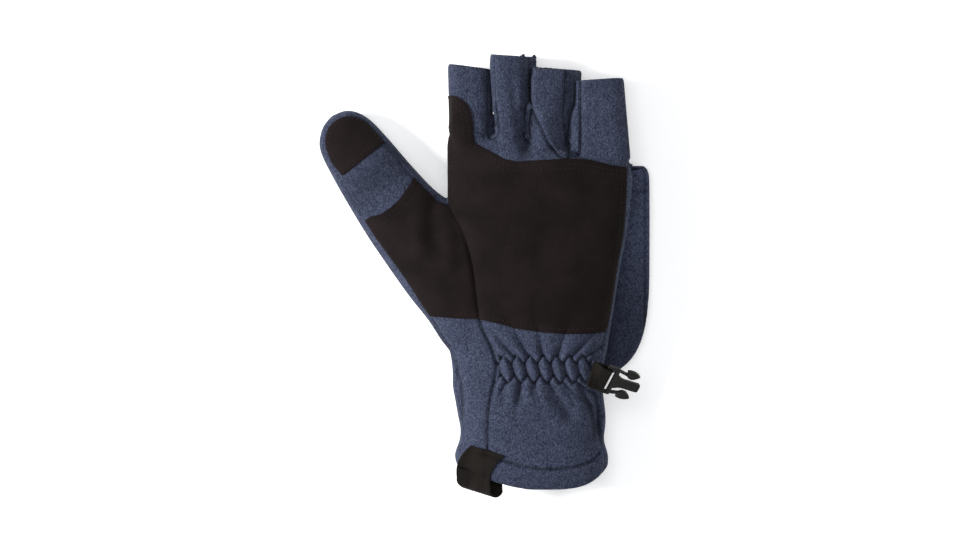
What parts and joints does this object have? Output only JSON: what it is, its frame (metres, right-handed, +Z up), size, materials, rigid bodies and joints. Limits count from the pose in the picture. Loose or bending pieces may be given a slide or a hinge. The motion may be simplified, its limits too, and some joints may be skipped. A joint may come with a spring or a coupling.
{
  "type": "windproof mitten, a left-hand convertible glove with open finger stubs and a fold-back mitten hood",
  "caption": "Left fleece mitten lying palm up: four open finger stubs, whole thumb, suede palm, gathered wrist with buckle strap, cuff loop, and a mitten hood folded behind",
  "frame": {"origin": "middle of the underside of the whole mitten as it lies, on the surface it lies on", "axes": "+Y from the cuff to the fingers, +X from the thumb to the little finger, +Z up out of the palm"},
  "size_m": [0.1874, 0.252, 0.0486],
  "materials": {
    "fleece": "brushed knit, matt with a soft nap",
    "suede": "sueded, matt",
    "webbing": "woven, semi-matt",
    "buckle_plastic": "moulded, satin"
  },
  "bodies": {
    "root": {"back_panel": "fleece", "palm_panel": "fleece", "thumb_panel": "fleece", "gusset_index_middle": "fleece", "gusset_middle_ring": "fleece", "gusset_ring_little": "fleece", "palm_patch": "suede", "thumb_patch": "suede", "thumb_tip_patch": "suede", "hood_hand_panel": "fleece", "hood_outer_panel": "fleece", "cuff_pull_loop": "webbing", "wrist_strap": "webbing", "buckle_tongue": "buckle_plastic"}
  },
  "joints": []
}
